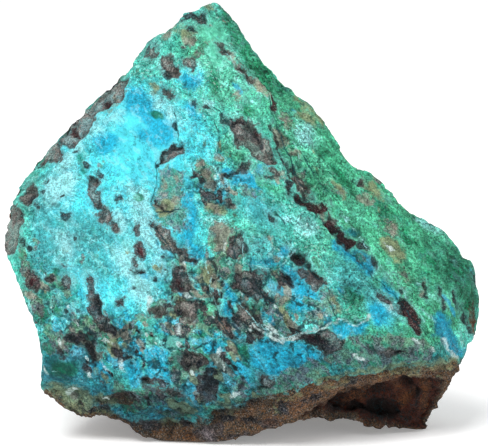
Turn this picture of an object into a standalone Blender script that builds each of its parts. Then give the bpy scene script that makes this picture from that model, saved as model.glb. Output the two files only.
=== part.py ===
"""Rough chrysocolla: one broken piece of ore, about 100 mm wide, standing on its own foot.

The stone is drawn square on to its broad face, by someone who looks a little down on it.
The drawing has three directions, all in millimetres: across to the right, up, and deep,
away from the eye. Its outline is given as a list of corners, its faces as flat breaks that
lean this way or that, and its hollows as dents. The drawn stone is then tilted back by the
same small angle, which stands it on the surface it rests on.
"""

import math
from collections import namedtuple
from itertools import pairwise

import bmesh
import bpy
from mathutils import Matrix, Vector, noise

MM = 0.001

# How the stone is looked at while it is drawn.
LOOKING_DOWN = math.radians(10)
EYE_DISTANCE = 700.0
MIDDLE_UP = 44.0

# The outline of the drawing, clockwise from the peak, as (across, up).
OUTLINE = [
    # The blunt peak and the long green shoulder down to the right.
    (-6.0, 88.4), (-4.2, 88.0), (-2.4, 86.8), (-1.4, 84.6), (0.4, 81.6), (2.6, 78.2),
    (4.4, 76.2), (6.8, 73.8), (8.2, 71.8), (10.4, 70.6), (13.2, 68.0), (16.4, 64.6),
    (18.2, 62.2), (19.7, 59.6), (19.9, 58.2), (22.4, 55.6), (26.0, 54.0), (29.4, 50.6),
    (31.2, 48.6), (34.2, 46.2), (37.0, 44.8), (40.8, 42.4), (43.6, 39.4),
    # The ragged right corner and the flank below it.
    (44.6, 37.4), (46.4, 37.0), (47.2, 34.4), (47.2, 31.8), (48.4, 28.8), (48.2, 26.0),
    (47.0, 22.4), (45.4, 20.2), (44.6, 18.0), (44.0, 15.4), (42.2, 13.2), (41.2, 10.4),
    (39.6, 7.6), (38.0, 4.8), (37.8, 3.2),
    # The right foot, the undercut beside it and the broad middle foot.
    (37.0, 2.4), (33.6, 2.4), (29.0, 2.8), (25.6, 2.8), (23.4, 4.2), (21.0, 3.8),
    (18.4, 3.6), (16.0, 4.4), (14.4, 3.8), (12.2, 4.4), (8.6, 3.2), (4.0, 1.8),
    (-1.4, 0.3), (-7.4, -0.1), (-12.4, -0.5), (-16.8, 0.1), (-19.8, 1.0), (-22.2, 2.8),
    (-24.2, 4.5), (-27.0, 5.2),
    # The left foot corner and the straight edge up to the left corner.
    (-29.0, 5.1), (-31.2, 4.6), (-34.0, 5.4), (-36.8, 7.4), (-40.8, 10.4), (-40.4, 13.2),
    (-40.2, 17.0), (-41.0, 21.0), (-42.6, 26.0), (-44.4, 30.6), (-45.8, 33.6),
    (-47.6, 38.0), (-48.2, 40.2),
    # The upper left edge, back to the peak with its small step and notch.
    (-47.6, 43.2), (-46.8, 46.6), (-45.4, 50.6), (-43.4, 53.6), (-40.4, 57.4),
    (-37.4, 60.7), (-34.4, 64.4), (-31.6, 66.8), (-28.4, 70.4), (-25.2, 72.8),
    (-22.8, 74.4), (-22.0, 76.2), (-20.0, 78.8), (-18.0, 81.4), (-16.6, 82.2),
    (-14.6, 82.6), (-13.0, 84.2), (-11.8, 86.0), (-9.4, 86.5), (-7.6, 87.8),
]

# A flat break. It passes through a point and gets deeper by so much per millimetre
# across and per millimetre up.
Break = namedtuple("Break", "across up deep per_across per_up")

FRONT_BREAKS = {
    "broad blue face": Break(-8.0, 20.0, 0.0, -0.22, 0.35),
    "middle face": Break(5.0, 20.0, 0.0, 0.10, 0.34),
    "green shoulder": Break(4.6, 69.8, 16.9, 0.53, 0.64),
    "strip beside the peak": Break(-5.4, 79.6, 17.9, 0.76, 0.98),
    "right flank": Break(42.0, 30.0, 10.5, 1.40, 0.05),
    "upper left bevel": Break(-23.3, 71.6, 21.4, -1.57, 1.53),
    "left corner": Break(-45.4, 42.0, 15.9, -1.90, 0.50),
    "belly turning under": Break(-8.0, 17.0, 0.0, -0.14, -0.25),
    "brown rim of the foot": Break(-8.0, 6.5, 3.2, -0.18, -0.90),
    "left foot turning under": Break(-36.0, 9.5, 8.5, -0.20, -1.00),
    "undercut on the right": Break(14.0, 9.2, 2.0, 0.50, -1.40),
}

BACK_BREAKS = {
    "broad back": Break(0.0, 15.0, 52.0, 0.06, -0.20),
    "back of the left side": Break(-25.0, 30.0, 44.0, 0.75, -0.16),
    "back of the right side": Break(24.0, 30.0, 45.0, -0.62, -0.22),
    "slab off the upper left": Break(-18.0, 58.0, 38.0, 0.55, -0.42),
    "slab off the upper right": Break(14.0, 56.0, 39.0, -0.62, -0.50),
    "heel": Break(0.0, 12.0, 52.0, -0.10, 0.55),
}

# How far each of the two families of breaks is worn round where its faces meet.
EDGE_WEAR = 1.2

# An oval hollow in the broad face, turned anticlockwise from across.
Dent = namedtuple("Dent", "across up half_long half_wide turned deep")

DENTS = {
    "cave in the undercut": Dent(25.0, 7.6, 10.0, 4.2, 8, 4.2),
    "shelf under the crust": Dent(24.0, 18.2, 13.0, 4.6, -4, 1.9),
    "shelf above the right foot": Dent(34.0, 16.0, 8.0, 3.6, 4, 1.0),
    "furrow along the shoulder": Dent(15.5, 49.5, 30.0, 2.4, -53, 1.3),
    "furrow down the middle": Dent(-13.0, 44.0, 20.0, 3.0, -68, 1.1),
    "scoop below the notch": Dent(-17.0, 74.5, 6.0, 3.4, -58, 1.0),
    "dark pocket low on the left": Dent(-28.5, 25.0, 6.0, 3.0, -62, 1.3),
    "hollow by the left foot": Dent(-25.5, 7.0, 4.5, 2.4, 10, 1.6),
    "pocket in the middle": Dent(9.0, 31.5, 7.5, 3.2, -18, 1.0),
}
DENT_EDGE = 0.7

# How closely the rings of points lie, on the face and on the back, and how small they get.
FACE_SPACING = 2.2
BACK_SPACING = 2.9
SMALLEST_RING = 0.055
FEWEST_CORNERS = 6

# How the sides draw in from the outline to the back: in how many rings, to what share of
# the outline, how late, how much less below the middle, and how hollow they are.
SIDE_RINGS = 8
BACK_SIZE = 0.80
SIDE_BEND = 1.6
HEEL_DRAW = 0.76
SIDE_HOLLOW = 1.0

# The hollow under the stone, which leaves it standing on its rim.
ARCH_HEIGHT = 3.0
ARCH_TOP = 8.0
ARCH_FULL = 4.0

# How uneven the breaks are, slowly and finely.
FRONT_SWELL = 0.55
BACK_SWELL = 1.0
SWELL_LENGTH = 17.0
ROUGHNESS = 0.38
ROUGH_LENGTH = 5.5

# Flakes knocked off the sides and the back, each flat. They face away from a point inside,
# the first almost sideways and the last almost straight back. The rim, the peak and the
# underside keep theirs.
INSIDE = Vector((0.0, 36.0, 26.0))
FLAKES = 18
THINNEST_FLAKE = 1.0
THICKEST_FLAKE = 6.5
FLAKE_AIM = 0.20
UNFLAKED_RINGS = 4
UNFLAKED_PEAK = 24.0
UNFLAKED_BASE = -0.35

# How much of the feet is worn flat, as a height above the lowest point of the stone.
FOOT_WEAR = 1.4


def swell(point, length, seed):
    """A slow unevenness from about -1 to 1, with the given length in millimetres."""
    offset = Vector((seed * 7.3, seed * -3.1, seed * 5.7))
    fineness, steepness, layers = 0.9, 2.1, 3
    return noise.fractal(Vector(point) / length + offset, fineness, steepness, layers)


def within_one(value):
    """The value, kept from 0 to 1."""
    return min(1.0, max(0.0, value))


def depth_at(flat, across, up):
    """How deep a flat break lies under one point of the drawing."""
    along = flat.per_across * (across - flat.across)
    return flat.deep + along + flat.per_up * (up - flat.up)


def worn_deepest(depths):
    """The greatest of several depths, rounded a little where two of them meet."""
    worn = [math.exp((depth - max(depths)) / EDGE_WEAR) for depth in depths]
    return max(depths) + EDGE_WEAR * math.log(sum(worn)) / 2


def dent_at(dent, across, up):
    """How far one dent pushes the face in at a point of the drawing."""
    turned = math.radians(dent.turned)
    right, rise = across - dent.across, up - dent.up
    along = right * math.cos(turned) + rise * math.sin(turned)
    aside = rise * math.cos(turned) - right * math.sin(turned)
    out = (along / dent.half_long) ** 2 + (aside / dent.half_wide) ** 2
    return dent.deep * max(0.0, 1.0 - out) ** DENT_EDGE


def front_depth(across, up):
    """Depth of the side that faces the eye."""
    flat = worn_deepest([depth_at(b, across, up) for b in FRONT_BREAKS.values()])
    hollow = sum(dent_at(dent, across, up) for dent in DENTS.values())
    rough = FRONT_SWELL * swell((across, up, 0.0), SWELL_LENGTH, 1)
    rough += ROUGHNESS * swell((across, up, flat), ROUGH_LENGTH, 2)
    return flat + hollow + rough


def back_depth(across, up):
    """Depth of the side that faces away."""
    flat = -worn_deepest([-depth_at(b, across, up) for b in BACK_BREAKS.values()])
    rough = BACK_SWELL * swell((across, up, flat), SWELL_LENGTH, 3)
    return flat + rough + ROUGHNESS * swell((across, up, flat), ROUGH_LENGTH, 4)


def drawn_in(corner, size):
    """A corner of the outline moved towards the middle of the face, less so below it."""
    across, rise = corner[0], corner[1] - MIDDLE_UP
    return across * size, MIDDLE_UP + rise * size ** (1.0 if rise > 0.0 else HEEL_DRAW)


def eased(corners, passes):
    """A ring of corners with its small steps and notches worn away."""
    for _ in range(passes):
        sides = zip(corners[-1:] + corners[:-1], corners, corners[1:] + corners[:1])
        corners = [
            tuple((before[i] + 2 * here[i] + after[i]) / 4 for i in range(2))
            for before, here, after in sides
        ]
    return corners


def outline_in_steps(count):
    """The outline walked round in equal steps."""
    ends = [Vector(corner) for corner in OUTLINE]
    ends.append(ends[0])
    lengths = [(b - a).length for a, b in pairwise(ends)]
    step = sum(lengths) / count
    points, walked, edge = [], 0.0, 0
    for number in range(count):
        while number * step > walked + lengths[edge]:
            walked += lengths[edge]
            edge += 1
        share = (number * step - walked) / lengths[edge]
        points.append(tuple(ends[edge].lerp(ends[edge + 1], share)))
    return points


def outline_length():
    """The distance once round the outline."""
    ends = [Vector(corner) for corner in OUTLINE + OUTLINE[:1]]
    return sum((b - a).length for a, b in pairwise(ends))


def face_rings(depth_of, biggest, spacing, easing):
    """Rings of points over one face, from its rim to its middle."""
    reach = outline_length() / math.tau
    rings, size = [], biggest
    while size > SMALLEST_RING:
        count = max(FEWEST_CORNERS, round(outline_length() * size / spacing))
        flat = [drawn_in(corner, size) for corner in eased(outline_in_steps(count), easing)]
        rings.append([(across, up, depth_of(across, up)) for across, up in flat])
        size -= spacing / reach
    return rings


def hollow_at(corner, share):
    """How far the side behind a corner of the outline is hollowed, part of the way back."""
    uneven = within_one((1.0 + swell((*corner, share), SWELL_LENGTH, 5)) / 2)
    under = within_one((ARCH_TOP - corner[1]) / ARCH_FULL)
    return (SIDE_HOLLOW * uneven + ARCH_HEIGHT * under) * math.sin(math.pi * share)


def side_rings():
    """Rings of points from just behind the outline to the rim of the back."""
    rings = []
    for number in range(1, SIDE_RINGS):
        share = number / SIDE_RINGS
        spacing = FACE_SPACING + (BACK_SPACING - FACE_SPACING) * share
        size = 1.0 - (1.0 - BACK_SIZE) * share**SIDE_BEND
        corners = outline_in_steps(round(outline_length() * size / spacing))
        ring = []
        for corner in eased(corners, number // 2):
            start = front_depth(*corner)
            end = back_depth(*drawn_in(corner, BACK_SIZE))
            inwards = size - hollow_at(corner, share) / MIDDLE_UP
            ring.append((*drawn_in(corner, inwards), start + (end - start) * share))
        rings.append(ring)
    return rings


def flake_breaks(points):
    """Where each flake broke off, as the way it faces and how far out it lies."""
    turn = math.pi * (3.0 - math.sqrt(5.0))
    breaks = []
    for number in range(FLAKES):
        deep = FLAKE_AIM + (1.0 - FLAKE_AIM) * (number + 0.5) / FLAKES
        aside = math.sqrt(1.0 - deep * deep)
        around = turn * number
        aim = Vector((aside * math.cos(around), aside * math.sin(around), deep))
        if aim.y < UNFLAKED_BASE:
            continue
        furthest = max((point - INSIDE).dot(aim) for point in points)
        thick = within_one((1.0 + swell(aim, 1.0, 6)) / 2)
        thick = THINNEST_FLAKE + (THICKEST_FLAKE - THINNEST_FLAKE) * thick
        breaks.append((aim, furthest - thick))
    return breaks


def flaked(rings):
    """The rings with what is outside a flake's break moved in to it, less near rim and peak."""
    rings = [[Vector(point) for point in ring] for ring in rings]
    breaks = flake_breaks([point for ring in rings for point in ring])
    for number, ring in enumerate(rings, start=1):
        hold = within_one(number / UNFLAKED_RINGS)
        for point in ring:
            below_peak = within_one((OUTLINE[0][1] - point.y) / UNFLAKED_PEAK)
            for aim, reach in breaks:
                outside = max(0.0, (point - INSIDE).dot(aim) - reach)
                point -= aim * outside * hold * below_peak
    return rings


def stone_rings():
    """Every ring of the stone, from the middle of its face to the middle of its back."""
    reach = outline_length() / math.tau
    first_in = 1.0 - FACE_SPACING / reach
    rim = [(*corner, front_depth(*corner)) for corner in OUTLINE]
    front = face_rings(front_depth, first_in, FACE_SPACING, 1)
    back = face_rings(back_depth, BACK_SIZE, BACK_SPACING, SIDE_RINGS // 2)
    return [*reversed(front), rim, *flaked(side_rings() + back)]


def in_space(point):
    """A point of the drawing at its real place: what lies deeper is drawn smaller."""
    across, up, deep = point
    spread = 1.0 + deep / EYE_DISTANCE
    return Vector((across * spread, deep, MIDDLE_UP + (up - MIDDLE_UP) * spread)) * MM


def add_ring(bm, ring):
    """The closed loop of edges through one ring of points."""
    corners = [bm.verts.new(in_space(point)) for point in ring]
    return [bm.edges.new(pair) for pair in zip(corners, corners[1:] + corners[:1])]


def stone_mesh():
    """The closed surface of the stone, as drawn."""
    bm = bmesh.new()
    loops = [add_ring(bm, ring) for ring in stone_rings()]
    for inner, outer in pairwise(loops):
        bmesh.ops.bridge_loops(bm, edges=inner + outer)
    for end in (loops[0], loops[-1]):
        bmesh.ops.edgeloop_fill(bm, edges=end)
    bmesh.ops.triangulate(bm, faces=bm.faces)
    bmesh.ops.recalc_face_normals(bm, faces=bm.faces)
    return bm


def set_down(bm):
    """Tilts the stone back on to its foot and puts the origin under its middle."""
    tilt = Matrix.Rotation(-LOOKING_DOWN, 3, "X")
    bmesh.ops.rotate(bm, cent=Vector(), matrix=tilt, verts=bm.verts)
    table = min(vert.co.z for vert in bm.verts) + FOOT_WEAR * MM
    for vert in bm.verts:
        vert.co.z = max(vert.co.z, table)
    across = [vert.co.x for vert in bm.verts]
    away = [vert.co.y for vert in bm.verts]
    middle = Vector((min(across) + max(across), min(away) + max(away), 2 * table)) / 2
    bmesh.ops.translate(bm, vec=-middle, verts=bm.verts)


def stone_material():
    """A plain blue green for the whole stone."""
    material = bpy.data.materials.new("chrysocolla")
    material.use_nodes = True
    shader = material.node_tree.nodes["Principled BSDF"]
    shader.inputs["Base Color"].default_value = (0.10, 0.42, 0.42, 1.0)
    shader.inputs["Roughness"].default_value = 0.75
    shader.inputs["Metallic"].default_value = 0.0
    return material


def make_stone():
    """The stone, as one object."""
    bm = stone_mesh()
    set_down(bm)
    mesh = bpy.data.meshes.new("chrysocolla_stone")
    bm.to_mesh(mesh)
    bm.free()
    mesh.materials.append(stone_material())
    stone = bpy.data.objects.new("chrysocolla_stone", mesh)
    bpy.context.scene.collection.objects.link(stone)
    return stone


def main():
    for old in list(bpy.data.objects):
        bpy.data.objects.remove(old)
    make_stone()


main()
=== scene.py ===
"""Looks of the rough chrysocolla stone: its broken surface, its minerals, and the stage it stands on."""

import math
from collections import namedtuple

import bmesh
import bpy
import numpy as np
from mathutils import Matrix, Vector, noise


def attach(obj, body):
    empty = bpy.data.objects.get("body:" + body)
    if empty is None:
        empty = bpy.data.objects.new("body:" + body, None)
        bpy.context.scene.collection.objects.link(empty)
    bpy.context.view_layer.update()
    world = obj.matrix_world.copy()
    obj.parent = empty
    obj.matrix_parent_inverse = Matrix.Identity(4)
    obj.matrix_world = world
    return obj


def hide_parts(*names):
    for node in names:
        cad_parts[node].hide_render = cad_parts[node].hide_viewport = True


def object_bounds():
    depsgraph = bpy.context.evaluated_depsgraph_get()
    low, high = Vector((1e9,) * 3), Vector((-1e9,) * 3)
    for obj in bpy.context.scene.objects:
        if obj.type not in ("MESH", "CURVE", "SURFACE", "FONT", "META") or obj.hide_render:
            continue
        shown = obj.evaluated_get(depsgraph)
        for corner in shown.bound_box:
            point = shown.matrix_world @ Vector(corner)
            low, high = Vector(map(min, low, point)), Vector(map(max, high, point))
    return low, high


bl_info = {
    "name": "Rough Chrysocolla",
    "version": (1, 0, 0),
    "blender": (4, 5, 0),
    "location": "View3D > Sidebar > Chrysocolla",
    "description": "Gives the packed stone its broken surface, its minerals and a pale stage",
    "category": "Object",
}

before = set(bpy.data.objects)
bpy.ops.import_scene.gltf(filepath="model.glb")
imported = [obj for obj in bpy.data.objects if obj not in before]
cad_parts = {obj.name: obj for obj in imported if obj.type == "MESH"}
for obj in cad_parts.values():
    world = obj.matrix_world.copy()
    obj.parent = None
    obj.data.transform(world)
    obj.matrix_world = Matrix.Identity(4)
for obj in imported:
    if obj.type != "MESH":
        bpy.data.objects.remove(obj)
CAD_BOX = [list(corner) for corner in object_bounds()]

NODE = "chrysocolla_stone"
BODY = "root"
MM = 0.001

# The broad face was drawn as it is seen by an eye 700 mm away that looks 10 degrees down.
# The marks below are placed on that drawing, in steps of 0.2 mm, to the right of and down
# from its upper left corner.
LOOKING_DOWN = math.radians(10)
EYE_DISTANCE = 700.0
EYE_ACROSS = 0.4
EYE_UP = 44.0
STEP = 0.2
DRAWING_WIDTH = 488
DRAWING_LEFT = 242
DRAWING_FOOT = 443
# Where the middle of the stone's foot lies in the drawing's own space, in mm.
STONE_MIDDLE = Vector((0.07, 27.447, -3.152))

# Oval marks of each kind: the middle, across and down, half the length and the width, and the
# turn from level, clockwise.
SPOTS = {
    "cyan": (
        (118, 205, 125, 80, 105), (195, 140, 30, 20, 60), (191, 79, 14, 10, 20), (306, 295, 17, 8, 10),
        (283, 379, 9, 6, 20), (384, 310, 14, 12, 30), (170, 333, 14, 11, 40), (218, 366, 9, 15, 0),
        (258, 206, 18, 10, 60),
    ),
    "turquoise": (
        (266, 216, 22, 14, 45), (84, 236, 44, 24, 8), (50, 262, 18, 34, 160), (40, 218, 14, 26, 0),
        (52, 312, 18, 30, 160), (100, 345, 30, 22, 0), (94, 262, 22, 16, 40), (60, 370, 26, 20, 0),
    ),
    "green": (
        (236, 150, 18, 9, 50), (268, 188, 18, 10, 20), (262, 225, 16, 12, 40), (217, 395, 7, 7, 0),
        (228, 404, 9, 4, 0), (117, 310, 9, 8, 0), (196, 40, 20, 14, -30), (209, 316, 6, 13, 10),
        (148, 334, 5, 6, 0), (165, 328, 8, 6, 30),
    ),
    "mint": (
        (306, 142, 26, 13, 50), (352, 206, 18, 7, 45), (244, 150, 12, 8, 40), (320, 250, 14, 7, 50),
    ),
    "deep": (
        (60, 366, 24, 18, 0), (288, 357, 34, 18, 10),
    ),
    "azure": (
        (161, 129, 17, 11, 60), (152, 116, 22, 10, 50), (140, 103, 20, 12, 40), (107, 143, 13, 10, 20),
        (147, 137, 12, 6, 30), (190, 80, 13, 8, 10), (266, 263, 13, 4, 8), (283, 251, 5, 8, 30),
        (297, 309, 14, 7, 10), (390, 289, 9, 4, 45), (348, 230, 6, 3, 45), (380, 312, 11, 8, 40),
        (125, 332, 8, 5, 20), (132, 346, 8, 5, 0), (193, 379, 8, 6, 0), (192, 110, 10, 6, 60),
    ),
    "pale": (
        (77, 142, 12, 8, 100), (63, 165, 14, 9, 130), (95, 127, 12, 6, 130), (112, 116, 12, 5, 140),
        (60, 187, 20, 17, 120), (241, 179, 5, 3, 60), (163, 266, 12, 8, 40), (130, 265, 22, 14, 60),
        (306, 134, 12, 6, 50), (283, 377, 8, 3, 10), (291, 384, 7, 3, 10), (158, 100, 9, 6, 60),
        (171, 114, 9, 6, 60), (150, 232, 26, 12, 50), (140, 285, 22, 12, 70), (33, 307, 7, 5, 80),
        (388, 306, 9, 5, 50), (142, 205, 22, 10, 60), (66, 246, 14, 6, 60), (120, 222, 12, 7, 50),
        (236, 130, 6, 9, 0), (306, 226, 12, 6, 40), (82, 320, 14, 9, 30), (218, 222, 9, 6, 30),
        (174, 332, 9, 6, 60), (104, 345, 10, 6, 30),
    ),
    "forest": (
        (214, 84, 15, 6, 85), (81, 166, 11, 2.6, 80), (40, 317, 7, 9, 0), (62, 368, 13, 10, 0),
        (240, 258, 4, 9, 10), (275, 277, 7, 9, 10), (355, 299, 12, 9, 50), (446, 380, 10, 5, 0),
        (342, 172, 14, 6, 50), (384, 214, 14, 6, 45), (324, 152, 10, 5, 45), (408, 238, 12, 6, 45),
        (246, 112, 9, 7, 0), (430, 262, 14, 7, 50), (460, 276, 22, 10, 70), (470, 304, 18, 8, 90),
        (236, 267, 7, 3, 0),
    ),
    "olive": (
        (78, 402, 17, 14, 10), (72, 397, 26, 8, 14), (232, 413, 10, 4, -15), (168, 425, 8, 4, 0),
        (104, 414, 7, 3, 0), (290, 405, 10, 3, -15), (340, 389, 14, 3, -20), (442, 367, 14, 4, 0),
        (408, 372, 14, 3, -10), (106, 403, 13, 5, 15), (152, 86, 7, 4, 60), (307, 116, 11, 5, 45),
        (340, 187, 10, 4, 50), (276, 275, 6, 4, 40), (336, 303, 8, 3, 70), (207, 7, 6, 3, 20),
        (260, 84, 6, 3, 45), (184, 31, 9, 5, 0), (30, 279, 9, 5, 30), (214, 206, 12, 5, 20),
        (222, 405, 9, 3, 0), (166, 205, 8, 10, 0), (372, 190, 12, 5, 45), (392, 250, 14, 9, 40),
    ),
    "moss": (
        (302, 184, 14, 8, 50), (216, 236, 9, 15, 0), (250, 190, 10, 6, 30), (165, 216, 10, 7, 80),
        (340, 190, 10, 5, 50), (80, 342, 15, 8, 10), (150, 398, 30, 10, 5), (330, 302, 12, 8, 60),
        (22, 262, 5, 20, 170), (36, 304, 6, 14, 160), (214, 207, 12, 7, 10), (322, 316, 16, 6, -10),
        (252, 306, 12, 7, 30), (240, 390, 8, 12, 0), (404, 276, 9, 4, 50), (390, 228, 12, 6, 45),
        (206, 168, 8, 14, 150), (60, 345, 9, 6, 30), (200, 48, 14, 5, -30),
    ),
    "tan": (
        (163, 184, 6, 4, 80), (174, 196, 7, 4, 70), (162, 203, 5, 3, 20), (201, 161, 5, 4, 0),
        (174, 176, 4, 3, 40), (205, 171, 6, 3, 60), (211, 184, 6, 4, 70), (169, 32, 6, 3, -40),
        (160, 230, 7, 4, 45), (187, 38, 5, 3, 0), (255, 139, 5, 3, 50), (267, 154, 7, 3, 50),
        (272, 101, 6, 3, 80), (280, 137, 9, 6, 60), (365, 199, 6, 4, 40), (391, 230, 6, 3, 45),
        (424, 289, 5, 2, 90), (188, 283, 4, 2.4, 80), (215, 226, 6, 4, 0), (198, 274, 3, 2, 0),
        (57, 345, 5, 3, 60), (29, 293, 7, 4, 20), (236, 96, 5, 3, 40), (261, 84, 6, 3, 50),
        (221, 155, 4, 3, 0), (213, 205, 6, 3, 20), (233, 204, 6, 3, 20), (278, 260, 3, 2.4, 50),
        (269, 239, 3, 2, 50), (282, 172, 5, 3, 40), (295, 152, 6, 3, 45), (286, 122, 7, 3, 45),
        (320, 214, 6, 3, 40),
    ),
    "rock": (
        (27, 194, 12, 7, 110), (155, 53, 8, 4, 120), (224, 49, 7, 3, 38), (246, 69, 6, 3, 45),
        (251, 79, 5, 3, 45), (275, 170, 7, 4, 30), (302, 184, 11, 5, 50), (167, 91, 8, 3, 30),
        (158, 310, 8, 6, 0), (265, 380, 7, 6, 30), (334, 218, 5, 3, 45), (402, 311, 6, 4, 60),
        (90, 350, 7, 4, 60), (192, 360, 8, 5, 60), (396, 352, 14, 3, 0), (172, 394, 12, 4, 10),
        (302, 272, 6, 4, 50), (93, 185, 9, 6, 65), (99, 199, 12, 6.5, 62), (105, 215, 10, 6, 60),
        (113, 226, 7, 4, 45),
    ),
    "brown": (
        (135, 231, 6, 2.8, 80), (141, 250, 8, 6.5, 70), (134, 260, 7, 2.4, 95), (137, 272, 5, 2.6, 10),
        (30, 280, 9, 7, 60), (63, 281, 8, 4, 85), (88, 283, 7, 3, 80), (89, 296, 6, 3, 90),
        (90, 352, 6, 3, 60), (87, 368, 6, 3, 40), (384, 297, 8, 4, 40), (361, 182, 4, 2.5, 30),
        (233, 200, 5, 2.4, 20), (118, 352, 6, 3, 20), (147, 383, 7, 4, 20), (162, 384, 5, 3, 20),
        (186, 366, 8, 4, 70), (252, 341, 5, 4, 20), (244, 166, 7, 3, 110), (250, 133, 7, 3, 40),
        (60, 352, 6, 3, 30), (208, 432, 14, 6, 0), (150, 424, 12, 5, 20), (236, 437, 16, 3, 0),
        (270, 424, 8, 4, -10), (316, 278, 8, 6, 60), (300, 256, 7, 6, 50), (120, 301, 4, 3, 0),
    ),
    "maroon": (
        (300, 200, 6, 3, 45), (310, 208, 6, 3, 45), (317, 213, 5, 3, 30), (323, 209, 5, 4, 60),
        (106, 102, 4, 2.2, -30), (74, 130, 4, 2.2, 60), (240, 125, 5, 2, 20), (258, 132, 6, 2, 60),
        (141, 250, 5, 3, 70), (290, 280, 5, 3, 40), (179, 284, 7, 4, 70), (302, 256, 5, 4, 50),
        (318, 340, 9, 4, 20), (31, 281, 4, 3, 60),
    ),
    "dark": (
        (189, 27, 4, 2.2, 20), (164, 75, 5, 3, 30), (150, 46, 4, 2.2, 110), (194, 103, 4, 2, 60),
        (204, 107, 5, 2, 30), (86, 165, 3, 2, 0), (73, 152, 2.4, 1.8, 0), (47, 178, 2.6, 1.8, 0),
        (42, 190, 2.6, 1.8, 0), (65, 197, 2.4, 1.8, 0), (34, 206, 4, 2.2, 60), (30, 250, 3.4, 2.6, 80),
        (21, 241, 4, 2.2, 60), (63, 264, 2.8, 2, 0), (50, 279, 2.8, 2, 0), (28, 196, 5, 2.6, 110),
        (154, 276, 2.8, 2, 0), (134, 288, 2.8, 2, 0), (100, 174, 3.4, 2, 40), (93, 180, 4, 2.4, 0),
        (118, 200, 3, 1.8, 50), (173, 127, 3, 2, 60), (66, 217, 5, 2.2, 60), (70, 217, 4, 2.2, -60),
        (76, 239, 3, 2, 30), (192, 261, 5, 2.4, 45), (194, 175, 3, 2.2, 0), (203, 179, 3, 2.2, 0),
        (230, 122, 5, 2.6, 30), (268, 176, 7, 2.2, 10), (294, 168, 3, 2.2, 0), (298, 172, 3, 2.2, 0),
        (290, 187, 8, 3, 80), (359, 248, 6, 3, 45), (371, 263, 6, 2.4, 50), (402, 289, 4, 2.6, 40),
        (239, 234, 3, 2.2, 0), (243, 246, 5, 2, 80), (137, 273, 5, 2, 10), (98, 306, 8, 5, 60),
        (108, 328, 7, 4, 20), (72, 338, 7, 4, -10), (123, 358, 7, 3.4, -30), (146, 384, 5, 2.6, 20),
        (105, 411, 5, 3, 0), (289, 280, 8, 4, 50), (259, 329, 4, 3.6, 0), (251, 341, 5, 3.4, 30),
        (301, 255, 9, 5, 40), (309, 264, 4, 3, 40), (317, 274, 8, 3, 50), (178, 314, 4, 3, 60),
        (166, 304, 5, 2.4, 0), (206, 386, 9, 5, 80), (198, 366, 7, 2.6, 110), (212, 270, 5, 1.6, 80),
        (170, 296, 3, 2, 60), (479, 277, 9, 3, 80), (275, 220, 5, 1.8, 50), (307, 196, 6, 2.4, 45),
        (404, 298, 5, 2.4, 30), (152, 226, 5, 1.6, 60), (336, 230, 5, 2.4, 50), (322, 343, 12, 5, 15),
        (240, 385, 3, 2, 80), (262, 388, 6, 1.6, 10), (250, 424, 12, 3, -10), (222, 421, 8, 3, 0),
        (282, 413, 10, 2.4, -15), (312, 403, 10, 2.4, -20), (186, 427, 6, 3, 0), (352, 386, 8, 2, -20),
        (130, 421, 7, 3, 20), (92, 412, 5, 2, 20), (402, 352, 5, 2, -10), (86, 346, 5, 2.6, 20),
    ),
    "rust": (
        (389, 383, 10, 4, -20), (402, 402, 8, 4, -30), (272, 422, 9, 4, 0), (318, 398, 14, 5, -20),
        (97, 303, 6, 3, 20), (178, 298, 5, 3, 0), (178, 247, 7, 3.4, 45), (316, 211, 6, 2.4, 40),
        (414, 314, 5, 2.4, 60), (184, 437, 12, 4, 0), (476, 326, 7, 3, 80), (226, 328, 8, 2.4, 60),
        (160, 430, 10, 4, 10), (345, 392, 18, 4, -22), (246, 414, 14, 4, -8), (300, 408, 16, 5, -12),
        (430, 404, 4, 12, 10), (372, 396, 9, 3, -20), (398, 392, 5, 3, 20), (430, 392, 5, 10, 10),
        (215, 298, 4, 2.4, 80), (360, 404, 9, 3, -30), (148, 384, 4, 2, 0),
    ),
    "crust": (
        (188, 295, 8, 2.4, 10), (202, 298, 5, 1.6, 0), (363, 358, 5, 2.2, 10), (418, 341, 5, 2, 20),
        (433, 349, 4, 1.6, 30), (222, 369, 5, 1.6, 80), (104, 365, 7, 1.4, 70), (120, 366, 5, 1.8, 60),
        (57, 343, 4, 2.4, 60), (235, 393, 5, 3.4, 0), (391, 306, 2.4, 5, 0), (106, 340, 6, 2, 20),
        (224, 246, 8, 1.8, 95), (68, 392, 3, 2, 0), (75, 392, 3, 2, 0), (105, 401, 4, 2, 0),
        (45, 368, 5, 1.4, 70), (258, 252, 2.4, 1.8, 0), (88, 374, 4, 2, 40), (388, 250, 5, 1.8, 40),
        (178, 330, 5, 2, 60), (148, 300, 6, 1.6, 80), (272, 327, 8, 2.4, 30), (218, 352, 5, 1.4, 80),
    ),
    "rim": (
        (476, 322, 14, 4, 80),
    ),
    # These marks are painted shade, laid where shade falls: low on the front, in the notch at the peak and by
    # the groove.
    "gloom": (
        (180, 362, 12, 10, 80), (206, 388, 12, 9, 80), (196, 14, 14, 5, 0), (55, 372, 14, 18, 0),
        (84, 342, 20, 10, 10), (40, 316, 8, 12, 0), (346, 288, 14, 8, 50),
    ),
    "mottle": (
        (250, 305, 100, 52, 24), (120, 345, 78, 34, 14), (195, 350, 60, 46, 0), (216, 184, 30, 28, 60),
        (60, 300, 36, 20, 40), (176, 405, 70, 12, 3),
    ),
    # Hollows of the undercut, sunk and painted near black as painted shadow.
    "hollow": (
        (332, 418, 18, 7, -8), (409, 388, 7, 5, 60), (418, 400, 8, 5, 20), (350, 402, 14, 4, -32),
        (376, 396, 8, 3, -30),
    ),
    "smooth": (
        (142, 142, 54, 38, 50), (60, 366, 16, 10, 0), (214, 42, 12, 26, -20), (4, 228, 14, 30, 170),
    ),
    "clear": (
        (160, 366, 14, 22, 0), (133, 372, 12, 15, 0), (211, 344, 12, 10, 0), (118, 190, 74, 62, 105),
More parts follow.
